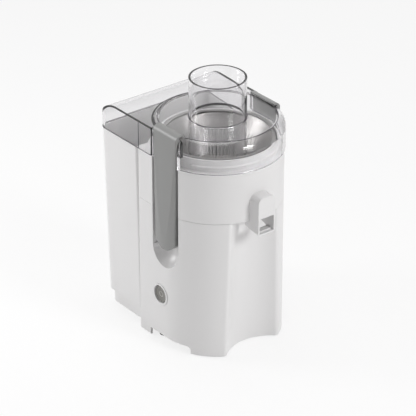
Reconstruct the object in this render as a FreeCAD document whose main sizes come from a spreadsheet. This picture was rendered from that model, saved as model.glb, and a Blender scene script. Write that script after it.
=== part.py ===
import FreeCAD, Part
import math
import os
import re
import Sketcher
from FreeCAD import Placement, Rotation, Vector

# A compact centrifugal juicer, in millimetres. Z is up and the table is at zero. The spindle stands on
# the Z axis, the spout points to -Y, the pulp bin hangs on behind at +Y and the button is on the -X side.

# Driving dimensions: alias, value, what it is
SIZES = [
    ("body_radius", 75.8, "round front of housing and bowl, and half their width"),
    ("body_rear", 51.3, "rear face of housing and bowl, from the spindle"),
    ("rear_round", 4.0, "upright rear corners of housing and bowl"),
    ("parting_height", 174.4, "top rim of the housing"),
    ("bowl_height", 62.1, "outer wall of the bowl"),
    ("stack_gap", 0.3, "gap between mouldings that rest on each other"),
    ("fit_gap", 0.05, "radial clearance of a pin or shaft in its bore"),
    ("housing_wall", 2.6, "wall of the housing"),
    ("foot_drop", 1.5, "housing above the table"),
    ("recess_low_radius", 52.0, "glass recess, radius at the table"),
    ("recess_high_radius", 47.0, "glass recess, radius under the bowl"),
    ("recess_round", 5.0, "front edges of the glass recess"),
    ("foot_round", 1.2, "lower edge of the housing"),
    ("recess_reach", 25.7, "axis of the glass recess in front of the body"),
    ("recess_axis", "=body_radius + recess_reach", "axis of the glass recess, in front of the spindle"),
    ("arch_height", 11.0, "top of the side arches above the table"),
    ("arch_front", 35.6, "front end of the side arches, from the spindle"),
    ("arch_rear", 29.0, "rear end of the side arches, from the spindle"),
    ("arch_round", 5.0, "front upper corner of the side arches"),
    ("deck_drop", 7.0, "deck below the top rim of the housing"),
    ("deck_wall", 2.6, "thickness of the deck"),
    ("collar_radius", 14.6, "outer radius of the spindle collar on the deck"),
    ("collar_bore", 12.0, "bore radius of the spindle collar"),
    ("collar_rise", 16.0, "spindle collar above the deck"),
    ("tower_radius", 4.2, "screw towers of the housing"),
    ("tower_inset", 22.8, "screw towers inside the body's sides"),
    ("tower_across", "=body_radius - tower_inset", "screw towers, sideways from the spindle"),
    ("tower_front_inset", 41.8, "front screw towers inside the body's front"),
    ("tower_front", "=body_radius - tower_front_inset", "front screw towers, from the spindle"),
    ("tower_rear", 38.0, "rear screw towers, from the spindle"),
    ("shelf_half", 38.0, "half width of the bin shelf"),
    ("shelf_reach", 47.0, "bin shelf behind the housing"),
    ("shelf_round", 8.0, "corners of the bin shelf"),
    ("channel_half", 22.0, "half width of the latch channels"),
    ("channel_depth", 17.0, "depth of the latch channels in the housing"),
    ("channel_drop", 49.0, "round end of the latch channels, below the housing rim"),
    ("latch_shift", 1.0, "middle of the latches behind the spindle"),
    ("pivot_drop", 24.4, "latch pivot below the housing rim"),
    ("pivot_inset", 7.5, "latch pivot inside the face of the housing"),
    ("pin_radius", 2.0, "latch pins"),
    ("pin_bite", 2.3, "length of each latch pin end in the channel wall"),
    ("latch_tail", 22.5, "latch below its pivot"),
    ("latch_face_low", 9.3, "outer face of the latch from the pivot, at its tail"),
    ("latch_face_high", 6.4, "outer face of the latch from the pivot, at its shoulder"),
    ("latch_proud", 1.5, "latch outside the body"),
    ("lug_reach", 3.6, "pivot lug of the latch inside its pivot"),
    ("lug_drop", 5.0, "pivot lug below the pivot"),
    ("lug_rise", 4.0, "pivot lug above the pivot"),
    ("tail_wall", 5.8, "thickness of the latch at its tail"),
    ("latch_low_half", 18.0, "half width of the latch at its tail"),
    ("latch_high_half", 21.2, "half width of the latch at its hook"),
    ("latch_low_round", 20.8, "round tail of the latch"),
    ("latch_shoulder", 7.0, "round shoulder of the latch"),
    ("latch_clear", 0.5, "latch clear of the cover behind it"),
    ("hook_lap", 3.2, "latch hook over the cover plate"),
    ("hook_wall", 2.2, "thickness of the latch hook"),
    ("bowl_wall", 2.4, "wall of the bowl"),
    ("bowl_floor_rise", 6.0, "bowl floor above the parting line"),
    ("bowl_channel", 6.6, "depth of the latch channels in the bowl"),
    ("bowl_collar_gap", 0.4, "bowl collar round the spindle collar"),
    ("bowl_collar_rise", 7.0, "bowl collar above the bowl floor"),
    ("bowl_seat_radius", 24.0, "ring under the bowl that rests on the deck"),
    ("neck_inset", 7.4, "bowl neck inside the body's outline"),
    ("neck_radius", "=body_radius - neck_inset", "upper wall of the bowl inside the cover"),
    ("neck_rise", 14.2, "upper wall of the bowl above its shoulder"),
    ("spout_overhang", 13.2, "spout in front of the body"),
    ("spout_reach", "=body_radius + spout_overhang", "front face of the spout, from the spindle"),
    ("spout_root_half", 17.5, "half width of the spout where it leaves the bowl"),
    ("spout_tip_half", 12.0, "half width of the spout at its front face"),
    ("spout_root_top", 38.6, "top of the spout at the bowl, above the parting line"),
    ("spout_tip_top", 32.6, "top of the spout at its front face, above the parting line"),
    ("spout_tip_drop", 14.6, "lip of the spout below the parting line"),
    ("spout_root_round", 11.0, "upper corners of the spout at the bowl"),
    ("spout_tip_round", 7.5, "upper corners of the spout at its front face"),
    ("spout_low_round", 3.0, "lower corners of the spout"),
    ("spout_mouth", 6.8, "top of the spout mouth above the parting line"),
    ("spout_wall", 1.8, "wall of the spout"),
    ("cover_proud", 1.4, "cover outside the body"),
    ("cover_radius", "=body_radius + cover_proud", "skirt of the cover"),
    ("cover_wall", 2.4, "wall of the cover"),
    ("cover_rise", 37.2, "flat top of the cover above the bowl shoulder"),
    ("plate_inset", 7.6, "flat top inside the body's outline"),
    ("plate_radius", "=body_radius - plate_inset", "flat top of the cover"),
    ("shoulder_drop", 12.5, "round shoulder of the cover below its flat top"),
    ("shoulder_round", 12.5, "radius of the round shoulder of the cover"),
    ("notch_margin", 1.3, "latch notches of the cover outside its flat top"),
    ("notch_side", 1.2, "latch notches of the cover wider than the latch, each side"),
    ("chute_bore", 30.6, "bore radius of the feed chute"),
    ("chute_wall", 2.4, "wall of the feed chute"),
    ("chute_rise", 47.6, "feed chute above the flat top"),
    ("hood_inset", 0.6, "hood sides inside the cover skirt"),
    ("hood_drop", 2.0, "hood roof below the flat top"),
    ("hood_round", 33.0, "round rear edge of the hood"),
    ("hood_corner", 13.0, "upright rear corners of the hood and bin"),
    ("bin_rear", 125.0, "rear face of the bin at its rim, from the spindle"),
    ("bin_side_inset", 0.2, "bin rim inside the hood sides"),
    ("bin_gap", 0.5, "bin behind the housing"),
    ("bin_taper", 3.6, "bin walls drawn in from the rim to the step"),
    ("bin_step_height", 25.0, "step near the foot of the bin above the table"),
    ("bin_foot_inset", 3.4, "foot of the bin inside the step"),
    ("bin_bottom", 8.0, "underside of the bin above the table"),
    ("bin_wall", 2.2, "wall of the bin"),
    ("bin_front_round", 3.0, "upright front corners of the bin"),
    ("button_back", 9.6, "power button behind the spindle"),
    ("button_height", 64.0, "power button above the table"),
    ("button_radius", 10.2, "power button"),
    ("button_gap", 0.8, "gap round the power button"),
    ("button_sink", 0.6, "face of the power button inside the housing face"),
    ("button_depth", 6.0, "cap of the power button"),
    ("button_travel", 2.5, "stroke of the power button"),
    ("ring_width", 2.4, "raised ring round the power button"),
    ("ring_rise", 0.8, "raised ring proud of the housing"),
    ("stem_radius", 4.0, "stem of the power button"),
    ("stem_length", 13.0, "stem of the power button behind its cap"),
    ("switch_gap", 0.3, "switch body inside the housing wall"),
    ("switch_half", 15.0, "half width and half height of the switch body"),
    ("switch_depth", 27.0, "switch body behind the housing wall"),
    ("switch_face", 2.0, "switch body behind the pressed button"),
    ("grommet_back", 36.0, "cord inlet behind the spindle"),
    ("grommet_height", 26.0, "cord inlet above the table"),
    ("grommet_radius", 5.0, "neck of the cord inlet grommet"),
    ("grommet_lip", 1.5, "lips of the cord inlet grommet"),
    ("cord_bore", 3.2, "bore of the cord inlet grommet"),
    ("plate_lift", 2.0, "base plate above the side arches"),
    ("plate_wall", 2.5, "base plate"),
    ("vent_width", 3.0, "vent slots of the base plate"),
    ("vent_length", 40.0, "vent slots of the base plate"),
    ("vent_pitch", 8.0, "vent slots, one to the next"),
    ("leg_radius", 8.0, "leg bosses under the base plate"),
    ("foot_radius", 7.0, "rubber feet"),
    ("foot_height", 5.0, "rubber feet"),
    ("plug_radius", 2.5, "plug of a rubber foot in its leg"),
    ("plug_length", 4.0, "plug of a rubber foot in its leg"),
    ("leg_front_side", 31.3, "front feet inside the body's sides"),
    ("leg_across_front", "=body_radius - leg_front_side", "front feet, sideways from the spindle"),
    ("leg_front_inset", 32.8, "front feet inside the body's front"),
    ("leg_front", "=body_radius - leg_front_inset", "front feet, from the spindle"),
    ("leg_rear_side", 15.8, "rear feet inside the body's sides"),
    ("leg_across_rear", "=body_radius - leg_rear_side", "rear feet, sideways from the spindle"),
    ("leg_rear", 22.0, "rear feet, from the spindle"),
    ("screw_radius", 1.6, "screw shanks"),
    ("screw_head", 3.4, "screw heads, radius"),
    ("screw_head_height", 2.2, "screw heads, height"),
    ("screw_bite", 12.0, "screw shanks in their towers and posts"),
    ("shaft_radius", 4.0, "motor shaft"),
    ("motor_lift", 8.0, "lower end of the motor shaft above the base plate"),
    ("bearing_radius", 8.0, "outer radius of the shaft bearings"),
    ("bearing_length", 10.0, "shaft bearings"),
    ("cup_wall", 4.0, "bearing cups of the motor brackets"),
    ("bracket_wall", 4.0, "motor brackets"),
    ("arm_inner", 26.0, "inner face of the bracket arms, from the spindle"),
    ("arm_half", 12.0, "half width of the bracket arms"),
    ("lower_arm", 30.0, "lower bracket arms"),
    ("upper_arm", 20.0, "upper bracket arms"),
    ("core_half_width", 31.0, "motor field core, half width"),
    ("core_half_depth", 36.0, "motor field core, half depth"),
    ("core_corner", 12.0, "motor field core, corners"),
    ("core_length", 40.0, "motor field core, stack"),
    ("core_bore", 23.0, "motor field core, bore radius"),
    ("pole_half", 14.0, "half width of a field pole"),
    ("coil_width", 10.4, "legs of a field coil"),
    ("coil_near", 20.3, "inner face of a field coil, from the spindle"),
    ("coil_depth", 6.4, "depth of a field coil"),
    ("coil_head", 9.5, "field coils beyond the core, each end"),
    ("coil_gap", 0.3, "field coils inside their windows"),
    ("air_gap", 0.6, "armature inside the field core"),
    ("armature_inset", 2.0, "armature core shorter than the field core, each end"),
    ("slot_width", 3.0, "armature slots"),
    ("slot_depth", 5.0, "armature slots"),
    ("winding_radius", 17.0, "armature end windings"),
    ("winding_length", 9.0, "armature end windings"),
    ("commutator_radius", 9.5, "commutator"),
    ("commutator_length", 14.0, "commutator"),
    ("commutator_gap", 1.0, "commutator below the armature windings"),
    ("brush_side", 6.0, "carbon brushes, side"),
    ("brush_length", 14.0, "carbon brushes"),
    ("brush_gap", 0.3, "carbon brushes off the commutator"),
    ("holder_wall", 1.4, "brush holders"),
    ("holder_clear", 2.0, "brush holders off the commutator"),
    ("holder_length", 22.0, "brush holders"),
    ("bolt_spread", 8.5, "motor bolts either side of the bracket middle"),
    ("bolt_cap", 1.2, "upper bracket above the motor bolts"),
    ("bolt_across", 28.5, "motor bolts, sideways from the spindle"),
    ("fan_radius", 24.0, "cooling fan"),
    ("fan_height", 8.0, "cooling fan"),
    ("fan_hub", 8.5, "hub radius of the cooling fan"),
    ("fan_wall", 1.6, "blades and disc of the cooling fan"),
    ("fan_lift", 0.8, "cooling fan above the field coils"),
    ("mount_spread", 30.0, "motor mounts, from the spindle each way"),
    ("mount_radius", 6.0, "rubber motor mounts"),
    ("mount_height", 10.0, "rubber motor mounts"),
    ("post_radius", 5.0, "motor posts under the deck"),
    ("seal_height", 6.0, "shaft seal"),
    ("seal_drop", 2.0, "shaft seal below the collar rim"),
    ("seal_gap", 0.3, "shaft seal round the shaft"),
    ("coupling_gap", 0.8, "drive coupling above the spindle collar"),
    ("coupling_flange", 13.4, "flange of the drive coupling"),
    ("coupling_flange_wall", 2.0, "flange of the drive coupling"),
    ("coupling_radius", 11.0, "corners of the drive coupling"),
    ("coupling_height", 15.0, "drive coupling above its flange"),
    ("shaft_cover", 2.0, "drive coupling above the shaft end"),
    ("hub_sleeve", 14.0, "sleeve of the basket hub"),
    ("hub_sleeve_length", 11.0, "sleeve of the basket hub below the hub disc"),
    ("hub_wall", 3.0, "disc of the basket hub"),
    ("hub_roof", 2.0, "basket hub disc above the coupling top"),
    ("hub_radius", 36.0, "disc of the basket hub, and cutter disc"),
    ("hub_skirt", 21.2, "outer radius of the hub skirt"),
    ("hub_skirt_wall", 2.0, "hub skirt"),
    ("hub_skirt_length", 17.0, "hub skirt below the hub disc"),
    ("disc_wall", 1.5, "cutter disc"),
    ("tooth_height", 2.0, "cutter teeth"),
    ("tooth_length", 3.2, "cutter teeth"),
    ("tooth_width", 1.6, "cutter teeth"),
    ("tooth_pitch", 4.8, "rows of cutter teeth, one to the next"),
    ("tooth_first", 10.0, "innermost row of cutter teeth"),
    ("rivet_inset", 5.4, "rivets of the cutter disc inside its edge"),
    ("rivet_circle", "=hub_radius - rivet_inset", "rivets of the cutter disc, from the spindle"),
    ("rivet_radius", 1.5, "rivet shanks"),
    ("rivet_head", 2.6, "rivet heads"),
    ("rivet_head_height", 1.0, "rivet heads"),
    ("mesh_wall", 0.8, "filter cone"),
    ("mesh_collar", 5.0, "upright foot of the filter cone"),
    ("slot_height", 8.0, "filter slots along the cone"),
    ("slot_across", 0.8, "filter slots"),
    ("rim_gap", 1.4, "basket rim inside the bowl neck"),
    ("rim_width", 3.6, "basket rim"),
    ("rim_height", 2.2, "basket rim"),
    ("rim_sink", 0.2, "basket rim above the bowl neck"),
    ("chute_foot_gap", 3.0, "feed chute above the cutter teeth"),
]

# Counts
TOOTH_ROWS = 4
INNER_TEETH = 8
MORE_TEETH = 4
FILTER_SLOTS = 60
FILTER_BANDS = 3
FILTER_SLOT_ROWS = 2
ARMATURE_SLOTS = 12
FAN_BLADES = 9
VENT_SLOTS = 7
COUPLING_SIDES = 6

# Heights that follow from the driving dimensions
DECK_TOP = "(parting_height - deck_drop)"
DECK_LOW = "(parting_height - deck_drop - deck_wall)"
COLLAR_TOP = f"({DECK_TOP} + collar_rise)"
BOWL_LOW = "(parting_height + stack_gap)"
BOWL_FLOOR = "(parting_height + bowl_floor_rise)"
BOWL_TOP = f"({BOWL_LOW} + bowl_height)"
BOWL_COLLAR = "(collar_radius + bowl_collar_gap)"
NECK_TOP = f"({BOWL_TOP} + neck_rise)"
COVER_LOW = f"({BOWL_TOP} + stack_gap)"
PLATE_TOP = f"({BOWL_TOP} + cover_rise)"
HOOD_TOP = f"({PLATE_TOP} - hood_drop)"
HOOD_HALF = "(cover_radius - hood_inset)"
CHUTE_RADIUS = "(chute_bore + chute_wall)"
PIVOT_X = "(body_radius - pivot_inset)"
PIVOT_Z = "(parting_height - pivot_drop)"
PIN_HALF = "(channel_half + pin_bite)"
NOTCH_X = "(plate_radius + notch_margin)"
NOTCH_HALF = "(latch_high_half + notch_side)"
CHANNEL_LIFT = "((channel_half^2 - channel_depth^2) / (2 * channel_depth))"
CHANNEL_RADIUS = f"({CHANNEL_LIFT} + channel_depth)"
CHANNEL_X = f"(body_radius + {CHANNEL_LIFT})"
CHANNEL_Z = "(parting_height - channel_drop)"
BIN_FRONT = "(body_rear + bin_gap)"
BIN_HALF = f"({HOOD_HALF} - bin_side_inset)"
BASE_LOW = "(arch_height + plate_lift)"
BASE_TOP = f"({BASE_LOW} + plate_wall)"
SHAFT_LOW = f"({BASE_TOP} + motor_lift)"
LOWER_CUP = f"({SHAFT_LOW} + 1)"
LOWER_ARM = f"({LOWER_CUP} + bracket_wall)"
CORE_LOW = f"({LOWER_ARM} + lower_arm)"
CORE_TOP = f"({CORE_LOW} + core_length)"
UPPER_ARM = f"({CORE_TOP} + upper_arm)"
UPPER_TOP = f"({UPPER_ARM} + bracket_wall)"
POST_LOW = f"({UPPER_TOP} + mount_height)"
COMMUTATOR_TOP = f"({CORE_LOW} + armature_inset - winding_length - commutator_gap)"
BRUSH_Z = f"({COMMUTATOR_TOP} - commutator_length / 2)"
FAN_LOW = f"({CORE_TOP} + coil_head + fan_lift)"
COUPLING_LOW = f"({COLLAR_TOP} + coupling_gap)"
COUPLING_HEX = f"({COUPLING_LOW} + coupling_flange_wall)"
COUPLING_TOP = f"({COUPLING_HEX} + coupling_height)"
SHAFT_TOP = f"({COUPLING_TOP} - shaft_cover)"
HUB_LOW = f"({COUPLING_TOP} + hub_roof)"
HUB_TOP = f"({HUB_LOW} + hub_wall)"
DISC_TOP = f"({HUB_TOP} + disc_wall)"
CHUTE_FOOT = f"({DISC_TOP} + tooth_height + chute_foot_gap)"
RIM_LOW = f"({NECK_TOP} + rim_sink - rim_height)"
RIM_OUTER = "(neck_radius - bowl_wall - rim_gap)"
RIM_INNER = f"({RIM_OUTER} - rim_width)"
FULL_TURN = 360
OVER_HOUSING = "(parting_height + 5)"

doc = FreeCAD.newDocument("Juicer")
sheet = doc.addObject("Spreadsheet::Sheet", "Sizes")
for row, (alias, size, note) in enumerate(SIZES, start=1):
    sheet.set(f"A{row}", note)
    sheet.set(f"B{row}", str(size))
    sheet.setAlias(f"B{row}", alias)
doc.recompute()
ALIASES = {alias for alias, size, note in SIZES}
nodes = []


def bound(text):
    """The expression, with every size that it names read from the sheet."""
    return re.sub(r"[a-z_]+", lambda word: f"Sizes.{word[0]}" if word[0] in ALIASES else word[0], text)


def value(text):
    return float(sheet.evalExpression(text))


def bind(thing, sizes):
    for prop, text in sizes.items():
        thing.setExpression(prop, bound(text))
    return thing


def place(thing, x="0", y="0", z="0"):
    return bind(thing, {"Placement.Base.x": x, "Placement.Base.y": y, "Placement.Base.z": z})


def node(thing, label):
    """Marks an object as one piece of the juicer."""
    thing.Label = label
    nodes.append(thing)
    return thing


def new_body(name):
    return doc.addObject("PartDesign::Body", name)


def origin_part(body, role):
    return next(item for item in body.Origin.OriginFeatures if item.Role == role)


def edge_between(start, end, radius):
    """A straight edge, or a round one that bends left for a positive radius."""
    if not radius:
        return Part.LineSegment(start, end)
    chord = end - start
    left = Vector(-chord.y, chord.x, 0).normalize()
    side = math.copysign(1, radius)
    to_centre = math.sqrt(max(radius * radius - chord.Length ** 2 / 4, 0))
    bulge = (start + end) * 0.5 + left * side * (to_centre - abs(radius))
    return Part.Arc(start, bulge, end)


def add_loop(sketch, corners):
    """A closed outline. A corner is (across, up), with the radius of its next edge where that is round."""
    first = sketch.GeometryCount
    count = len(corners)
    points = [Vector(value(corner[0]), value(corner[1]), 0) for corner in corners]
    radii = [value(corner[2]) if len(corner) > 2 else 0 for corner in corners]
    for index in range(count):
        sketch.addGeometry(edge_between(points[index], points[(index + 1) % count], radii[index]))
    starts = [2 if radius < 0 else 1 for radius in radii]
    for index, corner in enumerate(corners):
        here = first + index
        following = first + (index + 1) % count
        sketch.addConstraint(Sketcher.Constraint(
            "Coincident", here, 3 - starts[index], following, starts[(index + 1) % count]))
        for kind, text, size in (("DistanceX", corner[0], points[index].x),
                                 ("DistanceY", corner[1], points[index].y)):
            made = sketch.addConstraint(Sketcher.Constraint(kind, -1, 1, here, starts[index], size))
            sketch.setExpression(f"Constraints[{made}]", bound(text))
        if radii[index]:
            made = sketch.addConstraint(Sketcher.Constraint("Radius", here, abs(radii[index])))
            sketch.setExpression(f"Constraints[{made}]", bound(f"abs({corner[2]})"))


def add_circle(sketch, across, up, radius):
    centre = Vector(value(across), value(up), 0)
    here = sketch.addGeometry(Part.Circle(centre, Vector(0, 0, 1), value(radius)))
    for kind, text, size in (("DistanceX", across, centre.x), ("DistanceY", up, centre.y)):
        made = sketch.addConstraint(Sketcher.Constraint(kind, -1, 1, here, 3, size))
        sketch.setExpression(f"Constraints[{made}]", bound(text))
    made = sketch.addConstraint(Sketcher.Constraint("Radius", here, value(radius)))
    sketch.setExpression(f"Constraints[{made}]", bound(radius))


def draw(body, plane, loops=(), circles=(), offset="0"):
    """A sketch on one of the body's own planes, with every point bound to the sizes."""
    sketch = body.newObject("Sketcher::SketchObject", "sketch")
    sketch.AttachmentSupport = (origin_part(body, plane), [""])
    sketch.MapMode = "FlatFace"
    bind(sketch, {"AttachmentOffset.Base.z": offset})
    for corners in loops:
        add_loop(sketch, corners)
    for circle in circles:
        add_circle(sketch, *circle)
    return sketch


def extrude(body, kind, sketch, length, symmetric=False, reverse=False):
    made = body.newObject(f"PartDesign::{kind}", kind.lower())
    made.Profile = sketch
    made.SideType = "Symmetric" if symmetric else "One side"
    made.Reversed = reverse
    return bind(made, {"Length": length})


def turn(body, kind, sketch):
    made = body.newObject(f"PartDesign::{kind}", kind.lower())
    made.Profile = sketch
    made.ReferenceAxis = (sketch, ["V_Axis"])
    made.Angle = FULL_TURN
    return made


def repeat_round(body, feature, count):
    made = body.newObject("PartDesign::PolarPattern", "pattern")
    made.Originals = [feature]
    made.Axis = (origin_part(body, "Z_Axis"), [""])
    made.Angle = FULL_TURN
    made.Occurrences = count
    body.Tip = made
    return made


def round_edges(body, radius, chosen):
    """Rounds the chosen edges of the body's last feature."""
    doc.recompute()
    last = body.Tip
    names = [f"Edge{number}" for number, edge in enumerate(last.Shape.Edges, start=1) if chosen(edge)]
    made = body.newObject("PartDesign::Fillet", "rounding")
    made.Base = (last, names)
    return bind(made, {"Radius": radius})


def prism(name, loops, low, high, circles=()):
    """An upright solid with the given outline."""
    body = new_body(name)
    extrude(body, "Pad", draw(body, "XY_Plane", loops, circles, low), f"({high}) - ({low})")
    return body


def turned(name, corners):
    """A solid of revolution about the spindle, from a profile of (radius, height)."""
    body = new_body(name)
    turn(body, "Revolution", draw(body, "XZ_Plane", [corners]))
    return body


def cylinder(radius, low, high, x="0", y="0"):
    made = doc.addObject("Part::Cylinder", "cylinder")
    bind(made, {"Radius": radius, "Height": f"({high}) - ({low})"})
    return place(made, x, y, low)


def lying_cylinder(radius, start, end, along, x="0", y="0", z="0"):
    """A cylinder that lies along X or Y from one coordinate to the other."""
    made = doc.addObject("Part::Cylinder", "cylinder")
    made.Placement = Placement(Vector(), Rotation(Vector(0, 0, 1), Vector(along)))
    bind(made, {"Radius": radius, "Height": f"({end}) - ({start})"})
    if along[0]:
        return place(made, start, y, z)
    return place(made, x, start, z)


def box(x_low, x_high, y_low, y_high, z_low, z_high):
    made = doc.addObject("Part::Box", "box")
    bind(made, {"Length": f"({x_high}) - ({x_low})", "Width": f"({y_high}) - ({y_low})",
                "Height": f"({z_high}) - ({z_low})"})
    return place(made, x_low, y_low, z_low)


def cone(low_radius, high_radius, low, high, y):
    made = doc.addObject("Part::Cone", "cone")
    bind(made, {"Radius1": low_radius, "Radius2": high_radius, "Height": f"({high}) - ({low})"})
    return place(made, "0", y, low)


def fuse(*things):
    made = doc.addObject("Part::MultiFuse", "fuse")
    made.Shapes = list(things)
    return made


def common(*things):
    made = doc.addObject("Part::MultiCommon", "common")
    made.Shapes = list(things)
    return made


def cut(base, *tools):
    made = doc.addObject("Part::Cut", "cut")
    made.Base = base
    made.Tool = fuse(*tools) if len(tools) > 1 else tools[0]
    return made


def group(things):
    made = doc.addObject("Part::Compound", "group")
    made.Links = things
    return made


def minus(text):
    return f"(0 - ({text}))"


def tombstone(radius, rear, corner):
    """The plan of the body: round in front, straight sides, square rear with rounded corners."""
    left = minus(radius)
    return [(left, "0", radius), ("0", left, radius), (radius, "0"),
            (radius, f"{rear} - {corner}", corner), (f"{radius} - {corner}", rear),
            (f"{corner} - {radius}", rear, corner), (left, f"{rear} - {corner}")]


def tray(half, front, rear, front_round, rear_round):
    """A rectangle with rounded corners, the two at the rear larger."""
    left = minus(half)
    return [(f"{left} + {front_round}", front), (f"{half} - {front_round}", front, front_round),
            (half, f"{front} + {front_round}"), (half, f"{rear} - {rear_round}", rear_round),
            (f"{half} - {rear_round}", rear), (f"{left} + {rear_round}", rear, rear_round),
            (left, f"{rear} - {rear_round}"), (left, f"{front} + {front_round}", front_round)]


def polygon(sides, radius):
    step = FULL_TURN / sides
    return [(f"{radius} * cos({step * side})", f"{radius} * sin({step * side})") for side in range(sides)]


def four_places(across, front, rear):
    """Two places in front and two behind, the same on both sides."""
    return [(x, y) for x in (across, minus(across)) for y in (minus(front), rear)]


def recess(wall, low, high):
    """The glass recess, or its skin for a wall of its own."""
    return cone(f"recess_low_radius + {wall}", f"recess_high_radius + {wall}", low, high,
                minus("recess_axis"))


def channel(side, wall):
    """A latch channel in the housing, with a round finger scoop at its lower end."""
    trough = side_box(side, f"body_radius - channel_depth - {wall}", "body_radius + 20",
                      f"(channel_half + {wall})", CHANNEL_Z, OVER_HOUSING)
    scoop = bind(doc.addObject("Part::Sphere", "scoop"), {"Radius": f"{CHANNEL_RADIUS} + {wall}"})
    return fuse(trough, place(scoop, f"{side} * {CHANNEL_X}", "latch_shift", CHANNEL_Z))


def housing_skins(wall):
    """What the recess and the channels take from the inside of the housing."""
    return [recess(wall, "0", OVER_HOUSING), channel(-1, wall), channel(1, wall)]


def side_box(side, near, far, half, low, high):
    """A box about the middle of a latch, from one distance beside the spindle out to another."""
    x_low, x_high = (near, far) if side > 0 else (minus(far), minus(near))
    return box(x_low, x_high, f"latch_shift - {half}", f"latch_shift + {half}", low, high)


def make_housing():
    rear = "(body_rear - housing_wall)"
    radius = "(body_radius - housing_wall)"
    block = prism("housing_block", [tombstone("body_radius", "body_rear", "rear_round")], "foot_drop",
                  "parting_height")
    hollow = block.newObject("PartDesign::SubtractiveCone", "glass_recess")
    hollow.AttachmentSupport = (origin_part(block, "XY_Plane"), [""])
    hollow.MapMode = "FlatFace"
    bind(hollow, {"Radius1": "recess_low_radius", "Radius2": "recess_high_radius",
                  "Height": "parting_height", "AttachmentOffset.Base.y": "0 - recess_axis"})
    tall = value("parting_height / 2")
    ahead = value("0 - body_radius / 4")
    round_edges(block, "recess_round",
                lambda edge: edge.BoundBox.ZLength > tall and edge.CenterOfMass.y < ahead)
    round_edges(block, "foot_round", lambda edge: edge.BoundBox.ZMax < value("foot_drop + 0.01"))
    inside = prism("housing_void", [tombstone(radius, rear, "rear_round")], "0 - 5", OVER_HOUSING)
    void = cut(inside, *housing_skins("housing_wall"))

    arch_corner = "(arch_height - arch_round)"
    arches = new_body("arches")
    extrude(arches, "Pad", draw(arches, "YZ_Plane", [[
        ("0 - arch_front", "0"), ("arch_rear", "0"), ("arch_rear", "arch_height"),
        ("arch_round - arch_front", "arch_height", "arch_round"), ("0 - arch_front", arch_corner)]]),
        "2 * body_radius + 10", symmetric=True)

    shelf = prism("shelf", [tray("shelf_half", rear, "body_rear + shelf_reach", "1", "shelf_round")],
                  "foot_drop", "bin_bottom - stack_gap")
    button_at = {"y": "button_back", "z": "button_height"}
    hole_radius = "(button_radius + button_gap)"
    ring = lying_cylinder(f"{hole_radius} + ring_width", "0 - body_radius - ring_rise", "1 - body_radius",
                          (1, 0, 0), **button_at)
    button_hole = lying_cylinder(hole_radius, "0 - body_radius - 5", "5 - body_radius", (1, 0, 0),
                                 **button_at)
    cord_hole = lying_cylinder("grommet_radius + fit_gap", "body_radius - 5", "body_radius + 5", (1, 0, 0),
                               y="grommet_back", z="grommet_height")
    pin_holes = [lying_cylinder("pin_radius + fit_gap", f"latch_shift - {PIN_HALF} - fit_gap",
                                f"latch_shift + {PIN_HALF} + fit_gap", (0, 1, 0),
                                x=f"{side} * {PIVOT_X}", z=PIVOT_Z) for side in (-1, 1)]
    shell = cut(block, void, arches, channel(-1, "0"), channel(1, "0"))
    whole = fuse(shell, shelf, ring)
    node(cut(whole, button_hole, cord_hole, *pin_holes), "base_housing")


def make_deck():
    """The deck over the motor: collar round the shaft, posts for the motor, towers for the base screws."""
    wall = "(housing_wall + fit_gap)"
    plan = tombstone(f"(body_radius - {wall})", f"(body_rear - {wall})", "rear_round")
    sheet_part = cut(prism("deck_sheet", [plan], DECK_LOW, DECK_TOP), *housing_skins(wall))
    posts = []
    pilots = []
    for x, y in four_places("mount_spread", "mount_spread", "mount_spread"):
        posts.append(cylinder("post_radius", POST_LOW, DECK_TOP, x, y))
        pilots.append(cylinder("screw_radius + fit_gap", f"{POST_LOW} - 1", f"{POST_LOW} + screw_bite + 1",
                               x, y))
    for x, y in four_places("tower_across", "tower_front", "tower_rear"):
        posts.append(cylinder("tower_radius", BASE_TOP, DECK_TOP, x, y))
        pilots.append(cylinder("screw_radius + fit_gap", f"{BASE_TOP} - 1", f"{BASE_TOP} + screw_bite + 1",
                               x, y))
    collar = cylinder("collar_radius", DECK_LOW, COLLAR_TOP)
    bore = cylinder("collar_bore", f"{DECK_LOW} - 1", f"{COLLAR_TOP} + 1")
    node(cut(fuse(sheet_part, collar, *posts), bore, *pilots), "motor_deck")


def make_base_plate():
    gap = "(housing_wall + stack_gap)"
    outline = tombstone(f"(body_radius - {gap})", f"(body_rear - {gap})", "rear_round")
    floor_sheet = prism("plate_blank", [outline], BASE_LOW, BASE_TOP)
    legs = []
    plugs = []
    feet = []
    for x, y in leg_places():
        legs.append(cylinder("leg_radius", "foot_height", f"{BASE_LOW} + 1", x, y))
        plugs.append(cylinder("plug_radius + fit_gap", "foot_height - 1", "foot_height + plug_length + 0.5",
                              x, y))
        foot = cylinder("foot_radius", "0", "foot_height", x, y)
        plug = cylinder("plug_radius", "foot_height - 1", "foot_height + plug_length", x, y)
        feet.append(fuse(foot, plug))
    holes = [cylinder("screw_radius + fit_gap", f"{BASE_LOW} - 1", f"{BASE_TOP} + 1", x, y)
             for x, y in four_places("tower_across", "tower_front", "tower_rear")]
    vents = []
    for index in range(VENT_SLOTS):
        x = f"vent_pitch * {index - (VENT_SLOTS - 1) / 2}"
        vents.append(box(f"{x} - vent_width / 2", f"{x} + vent_width / 2", "0 - vent_length / 2",
                         "vent_length / 2",
                         f"{BASE_LOW} - 1", f"{BASE_TOP} + 1"))
    blank = cut(floor_sheet, recess(gap, "0", "parting_height"))
    node(cut(fuse(blank, *legs), *plugs, *holes, *vents), "base_plate")
    node(group(feet), "rubber_feet")


def leg_places():
    front = [(x, minus("leg_front")) for x in ("leg_across_front", minus("leg_across_front"))]
    rear = [(x, "leg_rear") for x in ("leg_across_rear", minus("leg_across_rear"))]
    return front + rear


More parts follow.
